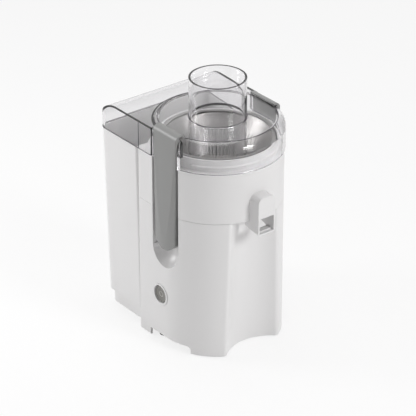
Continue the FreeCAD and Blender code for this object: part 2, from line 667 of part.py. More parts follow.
def make_screws():
    """Screws that come up from below, into the towers and through the mounts into the posts."""
    base = []
    for x, y in four_places("tower_across", "tower_front", "tower_rear"):
        head = cylinder("screw_head", f"{BASE_LOW} - screw_head_height", BASE_LOW, x, y)
        base.append(fuse(head, cylinder("screw_radius", f"{BASE_LOW} - 1", f"{BASE_TOP} + screw_bite", x,
                                        y)))
    node(group(base), "base_screws")
    mounts = []
    rubbers = []
    for x, y in four_places("mount_spread", "mount_spread", "mount_spread"):
        head = cylinder("screw_head", f"{UPPER_ARM} - screw_head_height", UPPER_ARM, x, y)
        mounts.append(fuse(head, cylinder("screw_radius", f"{UPPER_ARM} - 1", f"{POST_LOW} + screw_bite", x,
                                          y)))
        rubber = cylinder("mount_radius", UPPER_TOP, POST_LOW, x, y)
        rubbers.append(cut(rubber, cylinder("screw_radius + fit_gap", f"{UPPER_TOP} - 1", f"{POST_LOW} + 1",
                                            x, y)))
    node(group(mounts), "mount_screws")
    node(group(rubbers), "motor_mounts")


def make_bowl():
    rear = "(body_rear - bowl_wall)"
    radius = "(body_radius - bowl_wall)"
    neck_bore = "(neck_radius - bowl_wall)"
    collar_outer = f"({BOWL_COLLAR} + bowl_wall)"
    floor_low = f"({BOWL_FLOOR} - bowl_wall)"
    square = prism("bowl_block", [tombstone("body_radius", "body_rear", "rear_round")], BOWL_LOW, BOWL_TOP)
    block = fuse(square, cylinder("body_radius", BOWL_LOW, BOWL_TOP))
    neck = cylinder("neck_radius", f"{BOWL_TOP} - bowl_wall", NECK_TOP)
    juice_space = turned("juice_space", [
        ("0", f"{BOWL_FLOOR} + bowl_collar_rise"), (collar_outer, f"{BOWL_FLOOR} + bowl_collar_rise"),
        (collar_outer, BOWL_FLOOR), (radius, BOWL_FLOOR), (radius, f"{BOWL_TOP} - bowl_wall"),
        (neck_bore, f"{BOWL_TOP} - bowl_wall"), (neck_bore, f"{NECK_TOP} + 1"), ("0", f"{NECK_TOP} + 1")])
    under = fuse(prism("bowl_under", [tombstone(radius, rear, "rear_round")], f"{BOWL_LOW} - 1", floor_low),
                 cylinder(radius, f"{BOWL_LOW} - 1", floor_low))
    corners = cut(prism("bowl_corners", [tombstone(radius, rear, "rear_round")], f"{BOWL_LOW} - 1",
                        f"{BOWL_TOP} - bowl_wall"),
                  cylinder("body_radius", f"{BOWL_LOW} - 2", BOWL_TOP))
    channel_floor = "(body_radius - bowl_channel)"
    channels = [side_box(side, channel_floor, "body_radius + 5", "channel_half", f"{BOWL_LOW} - 5",
                         f"{BOWL_TOP} + 1")
                for side in (-1, 1)]
    skins = [side_box(side, f"{channel_floor} - bowl_wall", "body_radius + 5", "(channel_half + bowl_wall)",
                      f"{BOWL_LOW} - 5", f"{BOWL_TOP} + 1") for side in (-1, 1)]
    front_skin = cylinder("recess_high_radius + housing_wall", f"{BOWL_LOW} - 5", BOWL_FLOOR, "0",
                          minus("recess_axis"))
    seat = cut(cylinder("bowl_seat_radius", DECK_TOP, BOWL_FLOOR),
               cylinder("bowl_seat_radius - bowl_wall", f"{DECK_TOP} - 1", floor_low))
    void = cut(fuse(cut(under, front_skin), corners, juice_space), *skins)
    shell = cut(fuse(block, neck), void, *channels)
    whole = fuse(shell, seat, make_spout("spout_outer", "0", "body_radius - 8"))
    bore = cylinder(BOWL_COLLAR, f"{DECK_TOP} - 1", f"{BOWL_FLOOR} + bowl_collar_rise + 1")
    mouth_half = "(spout_tip_half - spout_wall)"
    mouth = box(minus(mouth_half), mouth_half, "0 - spout_reach - 1", "4 - spout_reach",
                "parting_height - spout_tip_drop + spout_wall * 1.3", "parting_height + spout_mouth")
    node(cut(whole, bore, make_spout("spout_inner", "spout_wall", "body_radius - 14"), mouth), "juice_bowl")


def make_spout(name, wall, root):
    """The hooded spout, lofted from the bowl to its front face, or the channel inside it."""
    body = new_body(name)
    slope = "(spout_tip_drop / (spout_reach - body_radius + 1))"
    run = f"(spout_reach - {root})"
    stations = [
        (root, f"spout_tip_half + (spout_root_half - spout_tip_half) * {run} / (spout_reach - body_radius)",
         f"spout_tip_top + (spout_root_top - spout_tip_top) * {run} / (spout_reach - body_radius)",
         f"0 - spout_tip_drop + {slope} * {run}", "spout_root_round"),
        (f"spout_reach - {wall}", "spout_tip_half", "spout_tip_top",
         f"0 - spout_tip_drop + {slope} * {wall}", "spout_tip_round")]
    sketches = []
    for reach, half, top, low, corner in stations:
        wide = f"({half} - {wall})"
        high = f"(parting_height + {top} - {wall})"
        deep = f"(parting_height + {low} + {wall} * 1.3)"
        turn_top = f"({corner} - {wall})"
        turn_low = f"(spout_low_round - {wall})"
        loop = [(f"{turn_low} - {wide}", deep), (f"{wide} - {turn_low}", deep, turn_low),
                (wide, f"{deep} + {turn_low}"), (wide, f"{high} - {turn_top}", turn_top),
                (f"{wide} - {turn_top}", high), (f"{turn_top} - {wide}", high, turn_top),
                (minus(wide), f"{high} - {turn_top}"), (minus(wide), f"{deep} + {turn_low}", turn_low)]
        sketches.append(draw(body, "XZ_Plane", [loop], offset=reach))
    loft = body.newObject("PartDesign::AdditiveLoft", "loft")
    loft.Profile = sketches[0]
    loft.Sections = [sketches[1]]
    loft.Ruled = True
    return body


def make_cover():
    low = COVER_LOW
    inner = "(cover_radius - cover_wall)"
    shoulder = f"({PLATE_TOP} - shoulder_drop)"
    drum = make_drum("cover_drum", "0", low)
    drum_void = turned("cover_drum_void", [
        ("0", f"{low} - 1"), (inner, f"{low} - 1"), (inner, shoulder, "shoulder_round"),
        ("plate_radius - cover_wall", f"{PLATE_TOP} - cover_wall"), ("0", f"{PLATE_TOP} - cover_wall")])
    hood = make_hood("hood", "0", low)
    hood_void = make_hood("hood_void", "cover_wall", f"{low} - 1")
    neck_clear = f"({NECK_TOP} + stack_gap)"
    outer_edge = "(cover_radius + 5)"
    notches = []
    skins = []
    for side in (-1, 1):
        half = f"({NOTCH_HALF} + cover_wall)"
        notches.append(side_box(side, NOTCH_X, outer_edge, NOTCH_HALF, neck_clear, f"{PLATE_TOP} + 1"))
        notches.append(side_box(side, "neck_radius - 6", outer_edge, NOTCH_HALF, f"{low} - 1", neck_clear))
        skins.append(side_box(side, f"{NOTCH_X} - cover_wall", outer_edge, half, neck_clear,
                              f"{PLATE_TOP} + 1"))
        skins.append(side_box(side, "neck_radius + cover_wall", outer_edge, half, f"{low} - 2", neck_clear))
    top = f"({PLATE_TOP} + chute_rise)"
    tube = cylinder(CHUTE_RADIUS, CHUTE_FOOT, top)
    node(cut(tube, cylinder("chute_bore", f"{CHUTE_FOOT} - 1", f"{top} + 1")), "feed_chute")
    chute_hole = cylinder(f"{CHUTE_RADIUS} + fit_gap", f"{low} - 1", f"{PLATE_TOP} + 1")
    void = cut(fuse(drum_void, hood_void), *skins)
    node(cut(drum, void, chute_hole, *notches), "top_cover")
    node(cut(hood, void, make_drum("drum_room", "fit_gap", f"{low} - 1"), *notches), "bin_hood")


def make_drum(name, grown, low):
    """The round cover as a solid, or the room that it takes in the hood."""
    side = f"(cover_radius + {grown})"
    return turned(name, [
        ("0", low), (side, low), (side, f"{PLATE_TOP} - shoulder_drop", f"(shoulder_round + {grown})"),
        ("plate_radius", f"{PLATE_TOP} + {grown}"), ("0", f"{PLATE_TOP} + {grown}")])


def make_hood(name, wall, low):
    """The hood that carries pulp over to the bin: a round rear edge, then the plan of the cover."""
    rear = f"(bin_rear - {wall})"
    roof = f"({HOOD_TOP} - {wall})"
    bend = f"(hood_round - {wall})"
    profile = new_body(f"{name}_profile")
    extrude(profile, "Pad", draw(profile, "YZ_Plane", [[
        ("0", low), (rear, low), (rear, f"{roof} - {bend}", bend), (f"{rear} - {bend}", roof),
        ("0", roof)]]), "3 * cover_radius", symmetric=True)
    half = f"({HOOD_HALF} - {wall})"
    plan = prism(f"{name}_plan", [tombstone(half, rear, f"(hood_corner - {wall})")], low,
                 f"{PLATE_TOP} + 5")
    return common(profile, plan)


def make_bin():
    """The pulp bin, hollowed in front to clear the round bowl."""
    rim = f"({BOWL_TOP} - stack_gap)"
    outer = bin_block("bin_outer", "0", "bin_bottom", rim)
    inner = bin_block("bin_inner", "bin_wall", "(bin_bottom + bin_wall)", f"({rim} + 1)")
    node(cut(outer, cut(inner, bowl_room("bin_wall")), bowl_room("0")), "pulp_bin")


def bin_block(name, wall, low, rim):
    body = new_body(name)
    step = f"(bin_step_height + {wall})"
    outlines = [draw(body, "XY_Plane", [bin_outline(wall, taper)], offset=height)
                for taper, height in (("0", rim), ("bin_taper", step))]
    loft = body.newObject("PartDesign::AdditiveLoft", "loft")
    loft.Profile = outlines[0]
    loft.Sections = [outlines[1]]
    loft.Ruled = True
    foot = draw(body, "XY_Plane", [bin_outline(wall, "(bin_taper + bin_foot_inset)")], offset=low)
    extrude(body, "Pad", foot, f"{step} - {low}")
    return body


def bowl_room(wall):
    return cylinder(f"body_radius + bin_gap + {wall}", f"{BOWL_LOW} - bin_gap - {wall}", f"{BOWL_TOP} + 5")


def bin_outline(wall, taper):
    return tray(f"({BIN_HALF} - {taper} - {wall})", f"({BIN_FRONT} + {wall})",
                f"(bin_rear - {taper} - {wall})",
                f"(bin_front_round - {wall})", f"(hood_corner - {wall})")


def make_latch(label, side):
    """A latch in its own frame: pivot at the origin, outer face to -X."""
    back = f"({PIVOT_X} - {NOTCH_X} - latch_clear)"
    hook_low = f"({PLATE_TOP} + stack_gap - {PIVOT_Z})"
    hook_top = f"({hook_low} + hook_wall)"
    hook_end = f"({PIVOT_X} - plate_radius + hook_lap)"
    high = "latch_face_high"
    profile = new_body(f"{label}_profile")
    extrude(profile, "Pad", draw(profile, "XZ_Plane", [[
        ("0 - latch_face_low", "0 - latch_tail"), ("tail_wall - latch_face_low", "0 - latch_tail"),
        ("lug_reach", "0 - lug_drop"), ("lug_reach", "lug_rise"), (back, f"lug_rise + lug_reach - {back}"),
        (back, hook_low), (hook_end, hook_low),
        (hook_end, hook_top), (f"latch_shoulder - {high}", hook_top, "latch_shoulder"),
        (minus(high), f"{hook_top} - latch_shoulder")]]), "3 * latch_high_half", symmetric=True)
    sag = "(latch_low_round - sqrt(latch_low_round^2 - latch_low_half^2))"
    front = new_body(f"{label}_front")
    extrude(front, "Pad", draw(front, "YZ_Plane", [[
        ("0 - latch_low_half", f"{sag} - latch_tail", "latch_low_round"),
        ("latch_low_half", f"{sag} - latch_tail"),
        ("latch_high_half", f"{hook_top} + 1"), ("0 - latch_high_half", f"{hook_top} + 1")]]),
        "4 * latch_high_half", symmetric=True)
    bore = lying_cylinder("pin_radius + fit_gap", "0 - latch_high_half - 5", "latch_high_half + 5",
                          (0, 1, 0))
    outside = cylinder("body_radius + latch_proud", "0 - 2 * latch_tail", f"{hook_top} + 1", PIVOT_X)
    latch = cut(common(profile, front, outside), bore)
    latch.Placement = Placement(Vector(), Rotation(Vector(0, 0, 1), 0 if side < 0 else 180))
    place(latch, f"{side} * {PIVOT_X}", "latch_shift", PIVOT_Z)
    node(latch, label)


def make_latch_pins():
    pins = []
    for side in (-1, 1):
        pins.append(lying_cylinder("pin_radius", f"latch_shift - {PIN_HALF}", f"latch_shift + {PIN_HALF}",
                                   (0, 1, 0),
                                   x=f"{side} * {PIVOT_X}", z=PIVOT_Z))
    node(group(pins), "latch_pins")


def make_button():
    at = {"y": "button_back", "z": "button_height"}
    face = "(button_sink - body_radius)"
    cap_back = f"({face} + button_depth)"
    stem_end = f"({cap_back} + stem_length)"
    cap = lying_cylinder("button_radius", face, cap_back, (1, 0, 0), **at)
    node(fuse(cap, lying_cylinder("stem_radius", f"{cap_back} - 1", stem_end, (1, 0, 0), **at)),
         "power_button")
    front = "(housing_wall + switch_gap - body_radius)"
    seat = f"({cap_back} + button_travel + switch_face)"
    block = box(front, f"{front} + switch_depth", "button_back - switch_half", "button_back + switch_half",
                "button_height - switch_half", "button_height + switch_half")
    well = lying_cylinder("button_radius + button_gap", f"{front} - 1", seat, (1, 0, 0), **at)
    bore = lying_cylinder("stem_radius + fit_gap", f"{seat} - 1", f"{stem_end} + button_travel + 1",
                          (1, 0, 0), **at)
    node(cut(block, well, bore), "switch_body")


def make_grommet():
    at = {"y": "grommet_back", "z": "grommet_height"}
    inner = "(body_radius - housing_wall)"
    neck = lying_cylinder("grommet_radius", f"{inner} - grommet_lip", "body_radius + grommet_lip",
                          (1, 0, 0), **at)
    lip = "grommet_radius + grommet_lip"
    outer_lip = lying_cylinder(lip, "body_radius", "body_radius + grommet_lip", (1, 0, 0), **at)
    inner_lip = lying_cylinder(lip, f"{inner} - grommet_lip", inner, (1, 0, 0), **at)
    bore = lying_cylinder("cord_bore", f"{inner} - 5", "body_radius + 5", (1, 0, 0), **at)
    node(cut(fuse(neck, outer_lip, inner_lip), bore), "cord_grommet")


def bolt_places():
    return [(x, y) for x in ("bolt_across", minus("bolt_across"))
            for y in ("bolt_spread", minus("bolt_spread"))]


def mount_places():
    return four_places("mount_spread", "mount_spread", "mount_spread")


def both_sides(near, far, half, low, high):
    """Two boxes, one on each side of the spindle along X."""
    return [box(near, far, minus(half), half, low, high),
            box(minus(far), minus(near), minus(half), half, low, high)]


def bolt_holes():
    return [cylinder("screw_radius + fit_gap", f"{LOWER_CUP} - 1", f"{UPPER_TOP} - bolt_cap", x, y)
            for x, y in bolt_places()]


def make_motor_frame():
    bearing = "(bearing_radius + fit_gap)"
    cup = "(bearing_radius + cup_wall)"
    slide = "(brush_side / 2 + brush_gap)"
    holder = f"({slide} + holder_wall)"
    window = f"({holder} + fit_gap)"

    bar = box(minus("core_half_width"), "core_half_width", minus("arm_half"), "arm_half", LOWER_CUP,
              LOWER_ARM)
    lower = fuse(bar, cylinder(cup, LOWER_CUP, f"{LOWER_CUP} + bearing_length"),
                 *both_sides("arm_inner", "core_half_width", "arm_half", f"{LOWER_ARM} - 1", CORE_LOW))
    windows = both_sides("arm_inner - 1", "core_half_width + 1", window, f"{BRUSH_Z} - {window}",
                         f"{BRUSH_Z} + {window}")
    lower_bore = cylinder(bearing, f"{LOWER_CUP} - 1", f"{LOWER_CUP} + bearing_length + 1")
    node(cut(lower, lower_bore, *bolt_holes(), *windows), "lower_bracket")

    edge = "(mount_spread + mount_radius)"
    plate = prism("bracket_plate", [tray(edge, minus(edge), edge, "mount_radius", "mount_radius")],
                  UPPER_ARM, UPPER_TOP)
    upper = fuse(plate, cylinder(cup, UPPER_ARM, f"{UPPER_ARM} + bearing_length"),
                 *both_sides("arm_inner", "core_half_width", "arm_half", CORE_TOP, f"{UPPER_ARM} + 1"))
    mount_holes = [cylinder("screw_radius + fit_gap", f"{UPPER_ARM} - 1", f"{UPPER_TOP} + 1", x, y)
                   for x, y in mount_places()]
    upper_bore = cylinder(bearing, f"{UPPER_ARM} - 1", f"{UPPER_ARM} + bearing_length + 1")
    node(cut(upper, upper_bore, *bolt_holes(), *mount_holes), "upper_bracket")

    start = "(commutator_radius + holder_clear)"
    end = f"({start} + holder_length)"
    tip = "(commutator_radius + brush_gap)"
    heights = (f"{BRUSH_Z} - {holder}", f"{BRUSH_Z} + {holder}")
    tubes = both_sides(start, end, holder, *heights)
    wells = both_sides(f"{start} - 1", f"{end} - holder_wall", slide, f"{BRUSH_Z} - {slide}",
                       f"{BRUSH_Z} + {slide}")
    node(group([cut(tube, well) for tube, well in zip(tubes, wells)]), "brush_holders")
    node(group(both_sides(tip, f"{tip} + brush_length", "brush_side / 2", f"{BRUSH_Z} - brush_side / 2",
                          f"{BRUSH_Z} + brush_side / 2")), "carbon_brushes")

    bolts = []
    for x, y in bolt_places():
        head = cylinder("screw_head", f"{LOWER_CUP} - screw_head_height", LOWER_CUP, x, y)
        shank = cylinder("screw_radius", f"{LOWER_CUP} - 1", f"{UPPER_TOP} - bolt_cap - fit_gap", x, y)
        bolts.append(fuse(head, shank))
    node(group(bolts), "motor_bolts")
    for label, low in (("lower_bearing", LOWER_CUP), ("upper_bearing", UPPER_ARM)):
        node(ring(label, "shaft_radius + fit_gap", "bearing_radius", low, f"{low} + bearing_length"), label)


def ring(name, bore, radius, low, high):
    return turned(name, [(bore, low), (radius, low), (radius, high), (bore, high)])


def make_motor_field():
    core = prism("core_block", [tray("core_half_width", minus("core_half_depth"), "core_half_depth",
                                     "core_corner", "core_corner")],
                 CORE_LOW, CORE_TOP)
    bore = cylinder("core_bore", f"{CORE_LOW} - 1", f"{CORE_TOP} + 1")
    coil_far = "(coil_near + coil_depth)"
    leg = "(pole_half + coil_gap)"
    coil_edge = f"({leg} + coil_width)"
    windows = []
    coils = []
    for near, far in (("coil_near", coil_far), (minus(coil_far), minus("coil_near"))):
        for x_low, x_high in (("pole_half", f"{coil_edge} + coil_gap"),
                              (f"0 - {coil_edge} - coil_gap", minus("pole_half"))):
            windows.append(box(x_low, x_high, f"{near} - coil_gap", f"{far} + coil_gap", f"{CORE_LOW} - 1",
                               f"{CORE_TOP} + 1"))
        loop = box(minus(coil_edge), coil_edge, near, far, f"{CORE_LOW} - coil_head",
                   f"{CORE_TOP} + coil_head")
        eye = box(minus(leg), leg, f"{near} - 1", f"{far} + 1", f"{CORE_LOW} - coil_gap",
                  f"{CORE_TOP} + coil_gap")
        coils.append(cut(loop, eye))
    node(cut(core, bore, *windows, *bolt_holes()), "field_core")
    node(group(coils), "field_coils")


def make_armature():
    bore = "(shaft_radius + fit_gap)"
    node(turned("motor_shaft", [("0", SHAFT_LOW), ("shaft_radius", SHAFT_LOW), ("shaft_radius", SHAFT_TOP),
                                ("0", SHAFT_TOP)]),
         "motor_shaft")
    low = f"({CORE_LOW} + armature_inset)"
    high = f"({CORE_TOP} - armature_inset)"
    radius = "(core_bore - air_gap)"
    core = new_body("armature_core")
    extrude(core, "Pad", draw(core, "XY_Plane", circles=[("0", "0", radius), ("0", "0", bore)], offset=low),
            f"{high} - {low}")
    slot = draw(core, "XY_Plane", [[(f"{radius} - slot_depth", "0 - slot_width / 2"),
                                    (f"{radius} + 1", "0 - slot_width / 2"),
                                    (f"{radius} + 1", "slot_width / 2"),
                                    (f"{radius} - slot_depth", "slot_width / 2")]], offset=low)
    repeat_round(core, extrude(core, "Pocket", slot, f"{high} - {low}", reverse=True), ARMATURE_SLOTS)
    node(core, "armature_core")
    ends = [ring("winding", bore, "winding_radius", f"{low} - winding_length", low),
            ring("winding", bore, "winding_radius", high, f"{high} + winding_length")]
    node(group(ends), "armature_windings")
    node(ring("commutator", bore, "commutator_radius", f"{COMMUTATOR_TOP} - commutator_length",
              COMMUTATOR_TOP), "commutator")
    fan = new_body("cooling_fan")
    extrude(fan, "Pad", draw(fan, "XY_Plane", circles=[("0", "0", "fan_radius"), ("0", "0", bore)],
                             offset=FAN_LOW), "fan_wall")
    extrude(fan, "Pad", draw(fan, "XY_Plane", circles=[("0", "0", "fan_hub"), ("0", "0", bore)],
                             offset=FAN_LOW), "fan_height")
    blade = draw(fan, "XY_Plane", [[("fan_hub - 1", "0 - fan_wall / 2"),
                                    ("fan_radius - 1", "0 - fan_wall / 2"),
                                    ("fan_radius - 1", "fan_wall / 2"),
                                    ("fan_hub - 1", "fan_wall / 2")]], offset=FAN_LOW)
    repeat_round(fan, extrude(fan, "Pad", blade, "fan_height"), FAN_BLADES)
    node(fan, "cooling_fan")


def make_drive():
    seal_top = f"({COLLAR_TOP} - seal_drop)"
    node(ring("shaft_seal", "shaft_radius + seal_gap", "collar_bore - fit_gap", f"{seal_top} - seal_height",
              seal_top), "shaft_seal")
    coupling = new_body("drive_coupling")
    extrude(coupling, "Pad", draw(coupling, "XY_Plane", circles=[("0", "0", "coupling_flange")],
                                  offset=COUPLING_LOW),
            "coupling_flange_wall")
    extrude(coupling, "Pad", draw(coupling, "XY_Plane", [polygon(COUPLING_SIDES, "coupling_radius")],
                                  offset=COUPLING_HEX),
            "coupling_height")
    extrude(coupling, "Pocket", draw(coupling, "XY_Plane", circles=[("0", "0", "shaft_radius + fit_gap")],
                                     offset=COUPLING_LOW),
            f"{SHAFT_TOP} + fit_gap - {COUPLING_LOW}", reverse=True)
    node(coupling, "drive_coupling")

    sleeve_low = f"({HUB_LOW} - hub_sleeve_length)"
    skirt_low = f"({HUB_LOW} - hub_skirt_length)"
    skirt_bore = "(hub_skirt - hub_skirt_wall)"
    hub = turned("basket_hub", [
        ("0", sleeve_low), ("hub_sleeve", sleeve_low), ("hub_sleeve", HUB_LOW), (skirt_bore, HUB_LOW),
        (skirt_bore, skirt_low), ("hub_skirt", skirt_low), ("hub_skirt", HUB_LOW),
        ("hub_radius", HUB_LOW), ("hub_radius", HUB_TOP), ("0", HUB_TOP)])
    socket = draw(hub, "XY_Plane", [polygon(COUPLING_SIDES, "(coupling_radius + fit_gap)")],
                  offset=sleeve_low)
    extrude(hub, "Pocket", socket, f"{COUPLING_TOP} - {sleeve_low}", reverse=True)
    extrude(hub, "Pocket", draw(hub, "XY_Plane", circles=rivet_circles("rivet_radius + fit_gap"),
                                offset=HUB_LOW),
            "hub_wall + 1", reverse=True)
    node(hub, "basket_hub")


def rivet_circles(radius):
    return [(x, y, radius) for x, y in (("rivet_circle", "0"), (minus("rivet_circle"), "0"),
                                        ("0", "rivet_circle"), ("0", minus("rivet_circle")))]


def make_basket():
    disc = new_body("cutter_disc")
    circles = [("0", "0", "hub_radius")] + rivet_circles("rivet_radius + fit_gap")
    extrude(disc, "Pad", draw(disc, "XY_Plane", circles=circles, offset=HUB_TOP), "disc_wall")
    for row in range(TOOTH_ROWS):
        reach = f"tooth_first + {row} * tooth_pitch"
        tooth = draw(disc, "YZ_Plane", [[("0 - tooth_length / 2", f"{DISC_TOP} - disc_wall / 2"),
                                         ("tooth_length / 2", f"{DISC_TOP} - disc_wall / 2"),
                                         ("tooth_length / 2", f"{DISC_TOP} + tooth_height"),
                                         ("0 - tooth_length / 2", DISC_TOP)]], offset=reach)
        repeat_round(disc, extrude(disc, "Pad", tooth, "tooth_width", symmetric=True),
                     INNER_TEETH + row * MORE_TEETH)
    node(disc, "cutter_disc")

    rivets = []
    for x, y, radius in rivet_circles("rivet_radius"):
        shank = cylinder(radius, HUB_LOW, f"{DISC_TOP} + rivet_head_height / 2", x, y)
        upper = cylinder("rivet_head", DISC_TOP, f"{DISC_TOP} + rivet_head_height", x, y)
        rivets.append(fuse(shank, upper, cylinder("rivet_head", f"{HUB_LOW} - rivet_head_height", HUB_LOW,
                                                  x, y)))
    node(group(rivets), "disc_rivets")

    foot = "(hub_radius + fit_gap)"
    cone_low = f"({HUB_LOW} + mesh_collar)"
    mesh = turned("filter_cone", [
        (foot, HUB_LOW), (f"{foot} + mesh_wall", HUB_LOW), (f"{foot} + mesh_wall", cone_low),
        (f"{RIM_INNER} + mesh_wall", RIM_LOW), (RIM_INNER, RIM_LOW), (foot, cone_low)])
    pitch = f"(({RIM_LOW} - {cone_low}) / {FILTER_BANDS})"
    for row in range(FILTER_SLOT_ROWS):
        low = f"({cone_low} + {pitch} * {row} + ({pitch} - slot_height) / 2)"
        slot = draw(mesh, "YZ_Plane", [[("0 - slot_across / 2", low), ("slot_across / 2", low),
                                        ("slot_across / 2", f"{low} + slot_height"),
                                        ("0 - slot_across / 2",
                                         f"{low} + slot_height")]], offset=f"{RIM_OUTER} + 2")
        repeat_round(mesh, extrude(mesh, "Pocket", slot, RIM_OUTER), FILTER_SLOTS)
    node(mesh, "filter_cone")
    node(ring("basket_rim", RIM_INNER, RIM_OUTER, RIM_LOW, f"{RIM_LOW} + rim_height"), "basket_rim")


def write_parts():
    doc.recompute()
    failed = [item.Label for item in doc.Objects if {"Invalid", "Error"} & set(item.State)]
    failed += [item.Label for item in nodes if item.Shape.isNull() or not item.Shape.isValid()]
    if failed:
        raise RuntimeError(f"these did not build: {failed}")
    os.makedirs("parts", exist_ok=True)
    for item in nodes:
        item.Shape.exportStep(f"parts/{item.Label}.step")


make_housing()
make_deck()
make_base_plate()
make_screws()
make_grommet()
make_button()
make_motor_frame()
make_motor_field()
make_armature()
make_drive()
make_basket()
make_bowl()
make_cover()
make_bin()
make_latch("left_latch", -1)
make_latch("right_latch", 1)
make_latch_pins()
write_parts()
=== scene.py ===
import math

import bpy
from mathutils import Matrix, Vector


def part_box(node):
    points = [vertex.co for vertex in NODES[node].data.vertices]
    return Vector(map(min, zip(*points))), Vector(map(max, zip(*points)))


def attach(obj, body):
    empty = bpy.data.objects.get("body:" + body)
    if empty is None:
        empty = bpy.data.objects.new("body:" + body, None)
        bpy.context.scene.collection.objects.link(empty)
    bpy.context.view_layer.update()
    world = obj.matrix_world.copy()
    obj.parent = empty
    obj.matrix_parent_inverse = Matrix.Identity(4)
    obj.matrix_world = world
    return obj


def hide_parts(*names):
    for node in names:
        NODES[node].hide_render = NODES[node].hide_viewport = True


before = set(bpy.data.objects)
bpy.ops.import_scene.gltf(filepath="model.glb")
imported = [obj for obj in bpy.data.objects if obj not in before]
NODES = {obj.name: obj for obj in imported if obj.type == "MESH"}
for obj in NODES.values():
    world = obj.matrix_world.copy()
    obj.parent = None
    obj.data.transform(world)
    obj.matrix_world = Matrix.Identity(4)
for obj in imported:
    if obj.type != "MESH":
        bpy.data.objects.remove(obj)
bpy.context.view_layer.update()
SCENE = bpy.context.scene
SCENE.view_settings.view_transform = "Standard"

MM = 0.001

# Camera of the photograph: place in metres, angles in radians, focal length and width in pixels
CAMERA_PLACE = (-1.50501, -1.91164, 1.45221)
CAMERA_YAW = math.radians(37.956)
CAMERA_PITCH = math.radians(28.054)
FOCAL_PIXELS = 2400.0
PICTURE_WIDTH = 416.0
SENSOR = 36.0
VIEW_END = 20.0

# Lamps: name, place, point aimed at and size in metres, power in watts
LAMPS = (
    ("key", (0.6, -2.1, 1.4), (0.0, 0.0, 0.14), 0.8, 27.0),
    ("side", (-0.6, 0.66, 0.5), (-0.05, 0.1, 0.14), 0.4, 3.5),
    ("top", (0.1, 0.3, 2.0), (0.0, 0.0, 0.2), 1.2, 10.0),
)
WORLD_LIGHT = 0.30
WORLD_TINT = (1.0, 0.985, 0.985, 1.0)
WHITE = (1.0, 1.0, 1.0, 1.0)

# Corners, in metres, of the floor and of the dark card that glossy edges mirror
FLOOR_CORNERS = ((-6.0, -6.0, 0.0), (6.0, -6.0, 0.0), (6.0, 6.0, 0.0), (-6.0, 6.0, 0.0))
CARD_CORNERS = ((0.42, -0.02, 0.0), (1.20, 0.62, 0.0), (1.20, 0.62, 0.9), (0.42, -0.02, 0.9))

# Share of the floor that is plain white to the eye; the rest shows its shadows
FLOOR_GLOW = 0.80

# Clear plastic: colours of its faces, of the painted shade along its edges and of its depth, and how fast the
# depth darkens
CLEAR_FACE = (0.985, 0.985, 0.99)
CLEAR_EDGE_SHADE = (0.30, 0.27, 0.32)
CLEAR_DEPTH = (0.66, 0.64, 0.65, 1.0)
CLEAR_DENSITY = 62.0

# Dot product of the softened and the flat normal where the painted shade of an edge starts, and where it is
# full
EDGE_SHADE_START = 0.995
EDGE_SHADE_FULL = 0.90

# Share of the lamps' light that goes straight through a wall of the clear cover
SHADOW_PASSED = 0.65

# Range of a noise texture's values that is spread over a material's own range
NOISE_LOW = 0.25
NOISE_HIGH = 0.75

# Beads on the cover, dark as painted shade along its edges, and on the bowl: radius, first angle, last angle,
# thickness. From here on sizes are in mm
CHUTE_BEAD = 33.2
PLATE_RADIUS = 68.2
NECK_RADIUS = 68.4
COVER_ARCS = ((CHUTE_BEAD, 0, 180, 0.5), (CHUTE_BEAD, 180, 360, 0.5),
              (PLATE_RADIUS, 20, 160, 0.45), (PLATE_RADIUS, 200, 340, 0.45))
NECK_ARCS = ((NECK_RADIUS, 206, 334, 1.7),)
NECK_RIB_LEVEL = 242.5
BEAD_STEPS = 80
BEAD_SIDES = 10

# Lip and ribs of the hood, drawn as dark lines of painted shade
HOOD_CORNER = 13.0
HOOD_LIP_START = 24.0
HOOD_LIP_RISE = 0.6
HOOD_RIB = 47.0
HOOD_RIB_DROP = 1.2
HOOD_TRIM = 0.4
CORNER_STEPS = 12

# Power button: rounded edge, cap and stem; the dish is (depth behind the rim, radius)
BUTTON_EDGE = 0.9
BUTTON_DISH = ((0.75, 0.0), (0.74, 2.0), (0.66, 4.5), (0.42, 7.0), (0.12, 8.6))
BUTTON_DEPTH = 6.0
BUTTON_BEVEL = 0.4
STEM_RADIUS = 4.0
STEM_BEVEL = 0.5

# Power mark: radius of its ring, width of its lines, front and back behind the button's rim, the ring's
# first angle and sweep in degrees, and the bar's points
MARK_RADIUS = 3.1
MARK_STROKE = 0.8
MARK_FRONT = 0.52
MARK_BACK = 1.3
MARK_START = 125.0
MARK_SWEEP = 290.0
MARK_STEPS = 40
MARK_BAR = ((0.0, 1.1), (0.0, 2.3), (0.0, 3.9))

# Rubber feet: places, and the profile of each below and above its rounded edge, as (height, radius)
FOOT_PLACES = ((44.5, -43.0), (-44.5, -43.0), (60.0, 22.0), (-60.0, 22.0))
FOOT_RADIUS = 7.0
FOOT_EDGE = 1.2
FOOT_SOLE = ((0.0, 0.0), (0.0, 3.6), (0.4, 4.0), (0.4, 4.6), (0.0, 5.0), (0.0, FOOT_RADIUS - FOOT_EDGE))
FOOT_SHOULDER = ((3.2, FOOT_RADIUS), (3.5, 6.5), (4.0, 6.5), (4.3, FOOT_RADIUS), (4.8, FOOT_RADIUS),
                 (5.0, 6.7), (5.0, 2.5), (8.6, 2.5), (9.0, 2.1), (9.0, 0.0))
FOOT_SIDES = 48

# Steps of a rounded edge in a turned profile
EDGE_STEPS = 6

